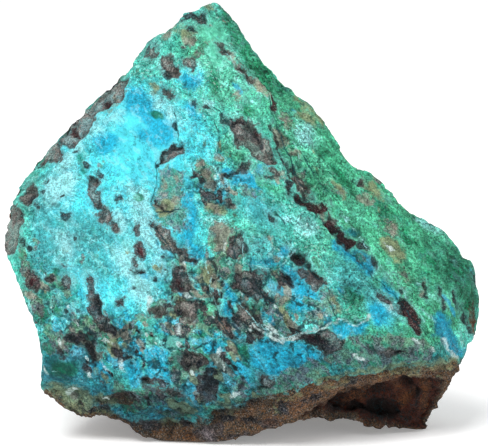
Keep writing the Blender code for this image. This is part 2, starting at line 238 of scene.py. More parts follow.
        (300, 309, 15, 8, 10), (60, 366, 20, 14, 0), (350, 329, 20, 6, -5),
    ),
}

# Marks along lines: half the width, and the points.
STREAKS = {
    "cyan": (
        (9, ((186, 150), (186, 188), (191, 218), (196, 243), (206, 256))),
    ),
    "green": (
        (4.5, ((238, 293), (253, 298), (268, 311), (278, 324))),
    ),
    "azure": (
        (5.5, ((188, 196), (192, 218), (187, 232), (190, 243), (202, 253))),
        (4, ((226, 285), (232, 298), (226, 311))), (5, ((336, 244), (354, 258), (367, 268))),
        (6, ((441, 317), (445, 330), (458, 354))), (5.5, ((236, 346), (240, 368), (244, 386))),
    ),
    "pale": (
        (2.5, ((420, 218), (444, 231))),
    ),
    "olive": (
        (2, ((298, 96), (312, 108), (326, 124))), (1.4, ((92, 118), (98, 112), (117, 103))),
        (2.4, ((318, 384), (334, 378), (359, 372), (397, 366), (430, 362), (458, 362))),
    ),
    "tan": (
        (1.2, ((226, 50), (238, 62), (252, 80), (266, 96))),
        (1.8, ((207, 256), (210, 267), (212, 282), (215, 290))),
    ),
    "maroon": (
        (3.6, ((330, 221), (338, 233), (347, 246))), (1.8, ((272, 99), (274, 113))),
    ),
    "dark": (
        (1.6, ((156, 163), (164, 151), (183, 142))), (0.9, ((158, 196), (164, 209), (176, 209))),
        (1.6, ((222, 117), (230, 124), (242, 124), (252, 128), (262, 144))),
        (1.4, ((233, 172), (240, 168), (243, 161))),
        (1.0, ((271, 122), (280, 148), (287, 166), (293, 178))), (1.6, ((424, 284), (428, 298))),
        (1.6, ((440, 292), (444, 306))), (1.6, ((452, 296), (457, 310))), (1.8, ((464, 314), (470, 332))),
    ),
    "rust": (
        (2.2, ((300, 396), (330, 388), (360, 381), (392, 374), (424, 370), (455, 367))),
        (1.6, ((328, 404), (352, 394), (378, 384), (404, 377), (436, 374))),
    ),
    "crust": (
        (1.2, ((256, 319), (262, 326), (270, 332))), (2.1, ((270, 332), (284, 338), (296, 334))),
        (1.1, ((296, 334), (312, 330), (333, 325), (345, 321), (360, 323), (372, 316))),
        (1.4, ((444, 338), (452, 352), (459, 360))),
    ),
    # Painted shade along the foot, the groove, the facet right of the peak and the lower right edge.
    "gloom": (
        (11, ((104, 396), (150, 409), (198, 413))),
        (7, ((96, 407), (128, 418), (162, 426), (204, 420), (236, 409), (262, 402))),
        (3, ((298, 200), (322, 212), (345, 244), (370, 268))),
        (4, ((236, 10), (250, 34), (270, 66), (288, 88))), (5, ((441, 320), (447, 334), (456, 350))),
    ),
    "clear": (
        (9, ((188, 190), (192, 230), (204, 254))),
    ),
}

# Marks inside lines of corners.
PATCHES = {
    "cyan": (
        ((186, 263), (208, 264), (211, 286), (196, 288)),
    ),
    "turquoise": (
        ((244, 241), (243, 261), (250, 267), (265, 272), (278, 266), (290, 261), (294, 254), (290, 238),
         (262, 226)),
        ((328, 262), (350, 256), (382, 282), (402, 306), (400, 328), (372, 316), (344, 298)),
    ),
    "green": (
        ((228, 28), (252, 84), (262, 118), (285, 160), (312, 214), (340, 262), (352, 330), (440, 352),
         (490, 300), (488, 240), (420, 190), (300, 85), (244, 28)),
    ),
    "mint": (
        ((186, 26), (208, 8), (226, 18), (242, 66), (262, 104), (256, 130), (232, 114), (204, 96), (194, 60)),
    ),
    # The lower face: deep teal skin that is partly painted shade where the face turns under; the painted shade
    # low down follows it too.
    "deep": (
        ((38, 340), (90, 352), (118, 350), (120, 392), (178, 388), (205, 360), (250, 352), (330, 344),
         (440, 350), (462, 366), (360, 380), (320, 384), (285, 398), (222, 420), (150, 432), (108, 418),
         (66, 394), (40, 386)),
    ),
    "azure": (
        ((220, 309), (228, 308), (238, 322), (246, 336), (240, 340), (230, 326)),
        ((282, 265), (291, 262), (306, 266), (309, 276), (307, 287), (322, 292), (322, 301), (296, 302),
         (290, 288)),
        ((331, 327), (348, 322), (368, 321), (366, 333), (350, 336), (334, 334)),
        ((259, 336), (268, 334), (278, 339), (286, 341), (297, 337), (303, 340), (315, 350), (323, 356),
         (318, 365), (304, 370), (290, 374), (275, 374), (260, 369), (251, 364), (253, 350)),
        ((201, 338), (208, 333), (222, 338), (224, 352), (212, 357), (202, 350)),
        ((145, 350), (158, 342), (171, 352), (173, 380), (162, 389), (150, 381)),
        ((123, 362), (140, 357), (145, 380), (134, 390), (121, 378)),
    ),
    "pale": (
        ((262, 321), (282, 321), (304, 326), (298, 334), (284, 340), (270, 331)),
    ),
    # The first forest patch is the dark facet right of the peak, its dark green partly painted shade of the
    # facet.
    "forest": (
        ((222, 8), (225, 26), (231, 44), (244, 62), (257, 78), (273, 93), (291, 93), (298, 86), (264, 54),
         (246, 22), (238, 2)),
    ),
    "moss": (
        ((346, 336), (372, 334), (424, 336), (440, 350), (428, 360), (380, 368), (345, 368), (326, 360)),
        ((263, 295), (286, 300), (288, 318), (280, 325), (266, 312)),
        ((150, 304), (168, 302), (201, 301), (202, 328), (190, 332), (176, 320), (150, 318)),
        ((180, 350), (209, 354), (208, 376), (190, 378), (174, 390), (173, 352)),
        ((292, 364), (325, 360), (332, 378), (300, 389), (280, 396), (250, 400), (262, 380)),
        ((158, 168), (171, 164), (183, 174), (183, 206), (188, 226), (174, 232), (160, 214), (155, 192)),
        ((206, 232), (232, 222), (240, 230), (226, 262), (214, 256)),
    ),
    "tan": (
        ((211, 230), (226, 224), (231, 232), (225, 252), (216, 252)),
    ),
    "rock": (
        ((126, 78), (121, 96), (97, 112), (86, 134), (79, 140), (67, 147), (61, 143), (57, 161), (46, 157),
         (30, 169), (6, 196), (0, 180), (60, 100), (110, 68)),
        ((-12, 186), (10, 202), (17, 214), (19, 230), (14, 250), (-12, 264)),
        ((163, 60), (170, 55), (179, 66), (178, 76), (168, 77), (162, 70)),
        ((181, 58), (190, 56), (196, 66), (192, 70), (184, 66)),
        ((156, 160), (162, 150), (174, 143), (185, 141), (182, 152), (172, 156), (162, 164)),
        ((307, 269), (318, 270), (327, 284), (318, 292), (309, 288)),
        ((236, 301), (245, 303), (263, 315), (263, 321), (254, 328), (243, 319), (235, 310)),
        ((173, 300), (198, 300), (200, 318), (190, 324), (178, 316)),
        ((228, 124), (240, 119), (258, 124), (266, 138), (277, 158), (268, 163), (250, 152), (234, 142)),
        ((151, 221), (161, 225), (176, 241), (187, 250), (195, 263), (184, 260), (169, 251), (156, 237)),
    ),
    "brown": (
        ((88, 302), (97, 300), (102, 312), (112, 324), (114, 334), (104, 332), (92, 318)),
        ((66, 336), (78, 330), (84, 338), (76, 343), (64, 344)),
        ((176, 263), (186, 272), (192, 286), (185, 293), (172, 292), (170, 284), (174, 272)),
        ((302, 335), (328, 329), (334, 333), (343, 336), (345, 345), (333, 352), (325, 356), (315, 347)),
        ((197, 378), (208, 376), (215, 388), (213, 402), (200, 404), (196, 392)),
        ((231, 269), (250, 268), (265, 273), (266, 281), (263, 288), (268, 292), (258, 299), (250, 292),
         (240, 291), (233, 287)),
        ((282, 270), (294, 285), (292, 290), (283, 289), (276, 293), (281, 280)),
        ((231, 234), (240, 236), (243, 243), (240, 251), (236, 261), (230, 264), (226, 259), (229, 243)),
        ((216, 314), (222, 316), (231, 326), (238, 341), (230, 340), (221, 328)),
        ((212, 286), (217, 292), (219, 308), (214, 306), (210, 294)),
    ),
    "maroon": (
        ((400, 296), (408, 299), (418, 314), (427, 331), (420, 331), (408, 318), (399, 304)),
    ),
    "dark": (
        ((180, 15), (188, 11), (198, 14), (208, 11), (209, 21), (200, 23), (190, 20), (182, 23)),
        ((256, 273), (266, 281), (262, 290), (252, 286)),
    ),
    "rim": (
        ((30, 386), (44, 394), (66, 398), (92, 408), (128, 418), (160, 428), (197, 423), (218, 411),
         (252, 402), (278, 397), (295, 391), (318, 386), (333, 381), (360, 377), (386, 372), (400, 369),
         (438, 366), (463, 363), (476, 372), (464, 460), (20, 460), (20, 386)),
    ),
    # The cavity of the undercut: brown rock darkened in part as painted shade.
    "cavity": (
        ((306, 420), (322, 412), (341, 402), (360, 396), (384, 389), (402, 384), (426, 381), (444, 382),
         (444, 396), (432, 430), (400, 438), (306, 430)),
    ),
    # Painted shade at the right edge of the shoulder, where it turns away.
    "gloom": (
        ((424, 236), (452, 240), (484, 262), (492, 300), (478, 334), (456, 312), (440, 284)),
    ),
    # A hollow of the undercut, sunk and painted near black as painted shadow.
    "hollow": (
        ((354, 411), (372, 407), (394, 411), (402, 422), (392, 430), (362, 428)),
    ),
    "clear": (
        ((244, 236), (243, 261), (250, 267), (265, 272), (290, 261), (296, 250), (300, 228), (274, 205),
         (256, 205)),
        ((257, 334), (303, 338), (324, 356), (304, 372), (272, 376), (250, 364)),
        ((282, 263), (306, 264), (324, 292), (322, 302), (292, 302)),
    ),
}

# Hairline cracks in the blue skin, as lines of points on the same drawing.
CRACKS = (
    ((157, 163), (158, 176), (157, 184), (155, 193), (153, 202), (156, 209)),
    ((270, 96), (273, 112), (283, 142), (298, 172), (308, 192)),
    ((318, 212), (345, 244), (372, 272), (404, 302), (430, 335)),
    ((178, 141), (174, 128), (175, 112)), ((213, 108), (219, 112), (226, 121)),
    ((214, 120), (218, 134), (217, 150)), ((156, 209), (168, 211), (179, 209)),
    ((236, 232), (232, 246), (236, 262)), ((205, 290), (214, 306), (222, 322), (236, 344), (248, 366)),
    ((300, 250), (306, 264), (318, 276)), ((275, 212), (284, 224)), ((262, 290), (276, 300), (282, 316)),
    ((152, 222), (166, 240), (178, 258)), ((330, 300), (338, 318)), ((300, 152), (316, 176), (336, 200)),
)

# Thin pale seams and edges of crust.
SEAMS = (
    ((256, 320), (263, 327), (272, 333), (284, 338), (297, 333), (314, 329), (333, 325), (347, 321),
     (372, 316)),
    ((381, 266), (394, 280), (408, 298), (425, 321)), ((44, 371), (53, 372)),
    ((244, 243), (245, 261), (265, 270), (283, 264), (295, 249)), ((226, 52), (256, 90), (268, 98)),
    ((262, 325), (250, 312), (240, 304)), ((217, 144), (216, 152), (222, 158)), ((98, 112), (118, 103)),
    ((205, 262), (211, 278), (208, 290), (220, 312)), ((284, 128), (300, 160)), ((340, 214), (368, 250)),
)

# Steps in the skin: how deep, how far the lowered side reaches in mm, and a line of points.
# The side on the right hand of someone who walks the line is the lower one.
LEDGES = (
    (1.0, 7.0, ((255, 318), (263, 326), (283, 339), (295, 334), (312, 330), (330, 326), (348, 320),
                (374, 317))),
    (0.7, 4.0, ((155, 210), (153, 202), (157, 184), (157, 163), (164, 148), (184, 139))),
    (0.8, 3.0, ((213, 110), (224, 120), (248, 124), (262, 142), (276, 160))),
    (0.7, 3.5, ((244, 240), (245, 261), (265, 271), (283, 265), (296, 249))),
    (0.7, 4.0, ((224, 262), (238, 268), (264, 270), (274, 290))),
    (0.9, 5.0, ((306, 419), (322, 411), (341, 401), (360, 395), (384, 388), (402, 383), (416, 381))),
    (0.9, 5.0, ((288, 112), (270, 91), (259, 79), (248, 64), (233, 46), (214, 34))),
    (1.0, 6.0, ((219, 411), (283, 398), (322, 379), (360, 377), (398, 369))),
    (0.5, 4.0, ((44, 387), (75, 391), (110, 403), (147, 417), (190, 421), (219, 411))),
    (0.8, 4.0, ((300, 196), (322, 214), (345, 244), (372, 271), (404, 300), (432, 336))),
    (0.7, 4.0, ((126, 84), (119, 98), (96, 112), (85, 133), (67, 147), (57, 162), (30, 169))),
    (0.6, 3.0, ((184, 222), (196, 240), (204, 262), (206, 286), (218, 312), (238, 344))),
    (0.6, 3.0, ((296, 250), (312, 262), (332, 266), (352, 288))),
    (0.5, 3.0, ((258, 338), (254, 350), (256, 364), (268, 374), (282, 381))),
    (0.5, 3.0, ((160, 268), (166, 290), (178, 306))),
)

# How far each kind is sunk below the blue skin, in mm, with the width of its step.
SUNK = {
    "rock": (0.45, 0.35), "brown": (0.42, 0.35), "maroon": (0.45, 0.3), "dark": (0.42, 0.3),
    "tan": (0.25, 0.35), "rust": (0.15, 0.5), "pale": (-0.08, 0.8), "azure": (0.06, 0.8), "crust": (-0.16, 0.3),
    "cavity": (1.6, 1.4), "hollow": (1.5, 1.2),
}

# How each kind is spread where the drawing doesn't reach: the width of a patch, how far it
# reaches and how much it covers, in mm.
UNSEEN = {
    "cyan": (30, 12, -1.0), "turquoise": (22, 9, -0.5), "green": (34, 14, 0.5), "mint": (20, 8, -1.2),
    "deep": (34, 12, -2.5), "azure": (15, 6, -2.6), "pale": (16, 6, -1.8), "forest": (12, 6, -1.8),
    "olive": (11, 5, -2.6), "moss": (12, 6, -2.4), "tan": (9, 5, -2.6), "rock": (15, 7, -3.1),
    "brown": (10, 5, -3.3), "maroon": (8, 4, -3.1), "dark": (5, 4, -3.2), "rust": (9, 4, -2.2),
    "crust": (5, 3, -2.6), "rim": (26, 8, -4.0), "cavity": (24, 8, -6.0), "gloom": (18, 7, -2.4),
    "mottle": (26, 10, -3.2), "hollow": (14, 6, -5.5), "smooth": (26, 9, -1.5), "clear": (20, 8, -1.0),
}

# Small patches strewn along the flow where the skin is mottled, in the same three measures.
STREWN = {
    "azure": (4.6, 6.0, -1.8), "forest": (3.6, 6.0, -2.1), "pale": (3.0, 5.0, -1.4), "tan": (2.8, 5.0, -2.1),
    "rock": (3.8, 6.5, -3.5), "brown": (3.2, 6.0, -3.2), "dark": (1.8, 5.0, -2.6), "olive": (3.4, 5.0, -1.9),
    "moss": (3.8, 6.0, -1.5), "crust": (1.8, 3.0, -2.1),
}

# The edge of each kind: half its softness, how far it strays in wide and in close lobes, all in
# mm, and which of the noise's three channels frays it.
EDGES = {
    "green": (2.6, 7.0, 2.5, 0), "mint": (2.2, 6.0, 2.5, 2), "cyan": (2.2, 6.0, 2.0, 1),
    "turquoise": (2.4, 6.0, 2.0, 0), "deep": (2.0, 6.0, 2.0, 2), "pale": (1.4, 3.6, 2.0, 0),
    "azure": (0.8, 2.4, 1.6, 1), "forest": (0.9, 3.0, 1.6, 2), "mottle": (3.0, 5.0, 2.0, 2),
    "smooth": (3.0, 4.0, 2.0, 1), "moss": (0.4, 3.6, 2.4, 1), "rim": (0.6, 3.0, 2.4, 1),
    "olive": (0.5, 2.2, 1.6, 0), "tan": (0.35, 2.2, 1.8, 2), "rock": (0.22, 2.2, 1.8, 0),
    "brown": (0.22, 2.2, 1.8, 0), "cavity": (1.0, 3.0, 2.4, 2), "rust": (0.8, 2.4, 1.6, 1),
    "hollow": (0.7, 2.2, 1.6, 2), "maroon": (0.22, 1.6, 1.6, 0), "dark": (0.2, 1.3, 1.4, 0),
    "gloom": (1.2, 4.0, 2.6, 1), "crust": (0.2, 0.8, 1.0, 2),
}
# The same for the lip and the painted shade at the foot of the steps down to bare rock, and for the painted
# shade low down.
LIP_EDGE = (0.5, 2.0, 1.8, 0)
STEP_FOOT_SHADE_EDGE = (0.18, 2.2, 1.8, 0)
FLAT_EDGE = (0.3, 2.2, 1.8, 0)
SHADE_EDGE = (4.0, 4.0, 2.0, 2)

# Skins and veins in the order they are laid: how much each covers, its darkest and lightest
# shade, the cloud between the two, its channel, and how far from the middle it is used.
SKINS = (
    ("green", 0.92, 0.78, 1.2, "flow", None, 0.16), ("mint", 0.85, 0.74, 1.2, "flow", None, 0.16),
    ("cyan", 0.96, 0.88, 1.15, "middle", 1, 0.2), ("turquoise", 0.85, 0.7, 1.25, "middle", None, 0.16),
    ("deep", 0.85, 0.55, 1.35, "middle", 0, 0.16), ("pale", 0.8, 0.86, 1.1, "fine", None, 0.2),
)
VEINS = (("azure", 0.94, 0.6, 1.3, "fine", 2, 0.16), ("forest", 0.86, 0.55, 1.45, "flow", 1, 0.14))
# Colours of the mottled chunks, each from a chunk's number on, and how softly they change.
CHUNK_FADE = 0.06
CHUNK_COLOURS = ((0.24, "cyan"), (0.36, "teal"), (0.56, "green"), (0.72, "deep"), (0.88, "forest"))
# Rocks in the order they are laid: how much each covers, whether thin skin veils it, its
# darkest and lightest shade, and how sharp its specks are.
ROCKS = (
    ("rim", 0.96, False, 0.16, 2.2, 1.0), ("olive", 0.88, False, 0.55, 1.45, 0.5),
    ("tan", 0.8, False, 0.6, 1.35, 0.5), ("rock", 1.0, True, 0.6, 1.5, 0.75),
    ("brown", 1.0, True, 0.5, 1.7, 0.85), ("cavity", 0.95, False, 0.05, 2.4, 1.0),
    ("rust", 0.6, False, 0.4, 1.5, 1.0),
)
ORES = (("maroon", 0.95, False, 0.35, 1.9, 1.0), ("dark", 0.92, True, 0.3, 2.0, 1.0))

# Tints that darken what they are laid over: the dark flecks, and painted shade at the foot of steps, in the low
# places of the relief, on the lower face and in the marks of broad shade.
FLECK_TINT = (0.25, 0.3, 0.32)
STEP_FOOT_SHADE_TINT = (0.2, 0.2, 0.2)
RECESS_SHADE_TINT = (0.22, 0.22, 0.22)
LOW_SHADE_TINT = (0.36, 0.56, 0.66)
PAINTED_SHADE_TINT = (0.34, 0.4, 0.46)

# How far the run of the furrows dips below level, to the right, in degrees, and how much longer
# than wide the material's lumps are along it.
FLOW_TURN = 54
FLOW_STRETCH = 4.5

# The material's clouds of noise: the width of the lumps in mm, detail, roughness and shift. The
# first bends the others, by up to BEND mm.
CLOUDS = {
    "bend": (4.0, 3.0, 0.6, (0.0, 0.0, 0.0)), "big": (7.0, 4.0, 0.6, (3.0, 11.0, 5.0)),
    "middle": (2.2, 5.0, 0.65, (17.0, 2.0, 9.0)), "fine": (0.62, 6.0, 0.7, (8.0, 31.0, 4.0)),
    "grain": (0.33, 4.0, 0.7, (1.0, 5.0, 21.0)), "flow": (1.5, 5.0, 0.65, (4.0, 4.0, 14.0)),
}
BEND = 2.2

CHUNK_WIDTH = 3.3
CHUNK_WANDER = 1.5
SUBDIVISIONS = 5
EASINGS = 6
MERGE_WITHIN = 1e-6
# The furthest that a mark and a line are felt, in mm.
REACH = 8.0
LINE_REACH = 1.2
# How much further off a line counts where the surface is turned away from the eye, in mm.
HIDDEN = 10.0
# Half the width of a seam and of a crack, in mm.
SEAM_WIDE = 0.16
CRACK_WIDE = 0.14
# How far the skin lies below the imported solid's, in mm, and the heights between which the
# relief fades out towards the flat feet.
SUNK_SKIN = 0.1
FEET = (0.2, 1.6)

SPECULAR = 0.22
BUMP = 0.9
BUMP_DEPTH = 1.1 * MM
FLOOR_GLOW = 0.22
SENSOR_WIDTH = 36.0
# Each lamp's place and aim in metres, its side, and the setting that holds its power.
LAMPS = {
    "key_light": ((-0.35, -0.75, 1.05), (0.0, 0.0, 0.05), 0.7, "key_power"),
    "fill_light": ((0.7, -0.9, 0.5), (0.0, 0.0, 0.04), 0.8, "fill_power"),
}

# A noise texture's value, its three channels and its colour.
Cloud = namedtuple("Cloud", "value parts colour")


def seen(red, green, blue):
    """Linear colour of a shade given as it looks, from 0 to 255."""
    return tuple((value / 255) ** 2.2 for value in (red, green, blue))


def tint(name, description, red, green, blue):
    """Colour property with a shade given as it looks."""
    return bpy.props.FloatVectorProperty(
        name=name, description=description, subtype="COLOR", size=3, min=0.0, max=1.0,
        default=seen(red, green, blue),
    )


def depth_setting(name, description, value):
    """Length property for a depth on the stone's skin."""
    return bpy.props.FloatProperty(
        name=name, description=description, default=value * MM, min=0.0, max=2 * MM,
        subtype="DISTANCE", unit="LENGTH", precision=5,
    )


class ChrysocollaColours(bpy.types.PropertyGroup):
    """Colours of the minerals in even light; the deep teal and the cavity are also darkened in part as painted
    shade.
    """

    teal: tint("Teal", "Blue green mineral between the patches", 84, 208, 188)
    cyan: tint("Cyan", "Bright skin of the broad left field", 84, 230, 254)
    azure: tint("Azure", "Strongest blue cores and veins", 36, 180, 216)
    turquoise: tint("Turquoise", "Greyer skin low on the left", 76, 176, 180)
    pale: tint("Pale", "Chalky crust", 164, 234, 238)
    green: tint("Green", "Malachite green of the shoulder", 78, 180, 134)
    mint: tint("Light green", "Pale green near the peak", 104, 214, 178)
    forest: tint("Dark green", "Dark green bands", 26, 130, 88)
    # The deep teal is partly the lower face's own colour and partly painted shade where the face turns under.
    deep: tint("Deep teal", "Dark skin of the lower face", 42, 134, 146)
    olive: tint("Olive", "Yellowish green stains", 126, 136, 102)
    tan: tint("Tan", "Weathered tan rock", 148, 148, 134)
    rock: tint("Rock", "Grey brown host rock", 132, 124, 120)
    brown: tint("Brown", "Weathered brown patches", 102, 94, 97)
    maroon: tint("Maroon", "Dark red brown iron ore", 70, 32, 38)
    dark: tint("Dark", "Almost black ore", 46, 56, 66)
    rust: tint("Rust", "Rusty stains", 122, 80, 48)
    rim: tint("Underside", "Brown rock of the undercut", 78, 50, 28)
    # The cavity's brown is darkened towards black as painted shade of the undercut.
    cavity: tint("Cavity", "Dark hollow of the undercut", 62, 25, 10)
    moss: tint("Moss", "Grey green speckled ore", 104, 140, 112)
    grit: tint("Grit", "Light grains in the rock", 200, 188, 178)
    white: tint("White", "Crust lines and flecks", 220, 244, 242)


class ChrysocollaRelief(bpy.types.PropertyGroup):
    """Depths of the stone's surface relief."""

    swell: depth_setting("Swell", "Height of the broad unevenness", 0.55)
    lumps: depth_setting("Lumps", "Height of lumps a few millimetres wide", 0.44)
    grain: depth_setting("Grain", "Height of the grain", 0.24)
    ribs: depth_setting("Ribs", "Depth of the furrows that run along the flow", 0.34)
    pits: depth_setting("Pits", "Depth of the scattered pits", 0.42)
    chunks: depth_setting("Chunks", "How far the mottled chunks stand apart", 0.6)
    crack: depth_setting("Cracks", "Depth of the hairline cracks", 0.30)


class ChrysocollaStage(bpy.types.PropertyGroup):
    """Floor and light of the stage."""

    floor: tint("Floor", "Colour of the pale floor", 250, 250, 250)
    floor_size: bpy.props.FloatProperty(
        name="Floor size", description="Length of the floor's side", default=8.0, min=1.0,
        subtype="DISTANCE", unit="LENGTH",
    )
    key_power: bpy.props.FloatProperty(
        name="Key light", description="Power of the main soft light", default=17.0, min=0.0,
        subtype="POWER", unit="POWER",
    )
    fill_power: bpy.props.FloatProperty(
        name="Fill light", description="Power of the soft light from the front", default=3.0,
        min=0.0, subtype="POWER", unit="POWER",
    )
    sky: bpy.props.FloatProperty(
        name="Sky", description="Strength of the even light from all round", default=0.6,
        min=0.0, max=5.0,
    )


def spot_reach(x, y, across, down, long, wide, turned):
    """How far inside an oval mark each point lies, in drawing steps."""
    turn = math.radians(turned)
    along = (x - across) * math.cos(turn) + (y - down) * math.sin(turn)
    aside = (y - down) * math.cos(turn) - (x - across) * math.sin(turn)
    return (1 - np.hypot(along / long, aside / wide)) * wide


def line_side(x, y, start, end):
    """Distance of each point from a straight line, and which side of the line it is on."""
    run = np.subtract(end, start)
    share = np.clip(((x - start[0]) * run[0] + (y - start[1]) * run[1]) / (run @ run), 0, 1)
    away = np.hypot(x - start[0] - share * run[0], y - start[1] - share * run[1])
    side = np.where((x - start[0]) * run[1] > (y - start[1]) * run[0], 1.0, -1.0)
    return away, side


def nearest_line(x, y, lines):
    """Distance of each point from the nearest of some bent lines, and which side of it it is on."""
    nearest = np.full(len(x), np.inf)
    sides = np.ones(len(x))
    for line in lines:
        for pair in zip(line, line[1:]):
            away, side = line_side(x, y, *pair)
            sides = np.where(away < nearest, side, sides)
            nearest = np.minimum(nearest, away)
    return nearest, sides


def patch_reach(x, y, corners):
    """How far inside a cornered patch each point lies, in drawing steps."""
    inside = np.zeros(len(x), bool)
    for start, end in zip(corners, corners[1:] + corners[:1]):
        crossed = (start[1] > y) != (end[1] > y)
        if crossed.any():
            where = (end[0] - start[0]) * (y - start[1]) / (end[1] - start[1]) + start[0]
            inside ^= crossed & (x < where)
    nearest, _ = nearest_line(x, y, [corners + corners[:1]])
    return np.where(inside, nearest, -nearest)


def drawn_reach(x, y, kind):
    """How far inside the marks of a kind each point lies, in mm."""
    reaches = [spot_reach(x, y, *spot) for spot in SPOTS.get(kind, ())]
    reaches += [wide - nearest_line(x, y, [line])[0] for wide, line in STREAKS.get(kind, ())]
    reaches += [patch_reach(x, y, corners) for corners in PATCHES.get(kind, ())]
    return np.max(reaches, axis=0) * STEP


def smooth_step(low, high, value):
    """Smooth rise from 0 at low to 1 at high."""
    share = np.clip((value - low) / (high - low), 0, 1)
    return share * share * (3 - 2 * share)


def noise_at(points, width, shift, octaves=4):
    """Fractal noise around 0 at each point, with lumps of the given width in mm and its own shift."""
    offset = Vector(shift)
    return np.array([noise.fractal(Vector(p) / width + offset, 1.0, 2.0, octaves) for p in points])


def drawn_places(points):
    """Where each point, in mm, is seen on the drawing of the broad face, in steps."""
    back = Matrix.Rotation(LOOKING_DOWN, 3, "X")
    spaced = (points + np.array(STONE_MIDDLE)) @ np.array(back).T
    spread = 1 + spaced[:, 1] / EYE_DISTANCE
    across = EYE_ACROSS + (spaced[:, 0] - EYE_ACROSS) / spread
    up = EYE_UP + (spaced[:, 2] - EYE_UP) / spread
    return DRAWING_LEFT + across / STEP, DRAWING_FOOT - up / STEP


def eye_place():
    """Where the eye stands, in mm."""
    tilt = Matrix.Rotation(-LOOKING_DOWN, 3, "X")
    return tilt @ Vector((EYE_ACROSS, -EYE_DISTANCE, EYE_UP)) - STONE_MIDDLE


def faces_eye(points, normals):
    """From 0 where the surface is turned away from the eye to 1 where it is well seen."""
    towards = np.array(eye_place()) - points
    towards /= np.linalg.norm(towards, axis=1)[:, None]
    return smooth_step(-0.25, -0.02, np.einsum("ij,ij->i", towards, normals))


def wandered(points, large, small, shift):
    """Drawn place of each point, shifted about as if the drawing's edges were frayed."""
    x, y = drawn_places(points)
    for width, much, octaves in ((7.0, large, 4), (1.8, small, 2)):
        x = x + much * noise_at(points, width, (3.1 + shift, 0.2, 7.7), octaves)
        y = y + much * noise_at(points, width, (9.4, 5.3 + shift, 1.9), octaves)
    return x, y


def flow_places(points, pressed):
    """The points with the run of the furrows, down to the right, pressed together."""
    turn = np.array(Matrix.Rotation(math.radians(FLOW_TURN), 3, "Y"))
    return points @ turn * np.array((pressed, 1.0, 1.0))


def mineral_fields(points, normals):
    """How far inside the patches of each kind every point lies, in mm, as arrays by kind."""
    x, y = wandered(points, 4.5, 3.5, 0.0)
    shown = faces_eye(points, normals)
    fields = {}
    for number, (kind, (width, reach, bias)) in enumerate(UNSEEN.items()):
        wild = noise_at(points, width, (number * 7.3, 2.1, number * 1.7), 4) * reach + bias
        fields[kind] = shown * drawn_reach(x, y, kind) + (1 - shown) * wild
    strewn = smooth_step(-4.0, 4.0, fields["mottle"]) * (1 - smooth_step(-1.0, 1.0, fields["clear"]))
    flow = flow_places(points, 0.5)
    for number, (kind, (width, reach, bias)) in enumerate(STREWN.items()):
        scatter = noise_at(flow, width, (number * 5.1, 3.3, 9.2), 4) * reach + bias
        fields[kind] = np.maximum(fields[kind], scatter - 0.5 * reach * (1 - strewn))

    # The brown rock also shows under overhangs, close to the ground and in the folds of the foot.
    overhang = 5.0 * smooth_step(0.45, 0.85, -normals[:, 2]) - 2.0
    foot = 4.0 - 0.9 * points[:, 2]
    folds = patch_reach(x, y, PATCHES["rim"][0]) * STEP - 10 * smooth_step(4.0, 14.0, points[:, 1])
    fields["rim"] = np.max([fields["rim"], overhang, foot, folds], axis=0)
    fields["chunk"], fields["chunk_edge"] = chunk_fields(points)
    fields["bare"] = np.max([fields[kind] for kind in ("rock", "brown", "maroon", "dark")], axis=0)
    return {kind: np.clip(field, -REACH, REACH) for kind, field in fields.items()}


def chunk_fields(points):
    """Chunks of mineral along the flow: a number for each chunk, and the distance from its edge in mm."""
    starts = ((1.1, 7.4, 2.8), (6.6, 3.9, 0.2), (2.7, 8.8, 5.1))
    shifts = [CHUNK_WANDER * noise_at(points, 2.2, start, 3) for start in starts]
    places = flow_places(points + np.transpose(shifts), 0.62) / CHUNK_WIDTH
    numbers = np.empty(len(places))
    edges = np.empty(len(places))
    for index, place in enumerate(places):
        distances, centres = noise.voronoi(Vector(place))
        numbers[index] = noise.cell(centres[0] * 7.3) * 0.5 + 0.5
        edges[index] = (distances[1] - distances[0]) * CHUNK_WIDTH / 2
    return np.clip(numbers, 0, 1), edges


def line_fields(points, normals, lines, shift):
    """Signed distance from the nearest of some lines, in mm, and how near it is."""
    nearest, sides = nearest_line(*wandered(points, 2.5, 1.5, shift), lines)
    nearest = nearest * STEP + HIDDEN * (1 - faces_eye(points, normals))
    near = 1 - smooth_step(0.4, LINE_REACH, nearest)
    return sides * np.minimum(nearest, LINE_REACH), near


def ledge_depths(points, normals):
    """How far the steps in the skin lower each point, in mm."""
    x, y = wandered(points, 4.0, 2.0, 2.0)
    depths = np.zeros(len(x))
    for deep, fade, line in LEDGES:
        nearest, sides = nearest_line(x, y, [line])
        lowered = smooth_step(-0.25, 0.25, -sides * nearest * STEP)
        depths += deep * lowered * (1 - smooth_step(0.0, fade, nearest * STEP))
    return depths * faces_eye(points, normals)


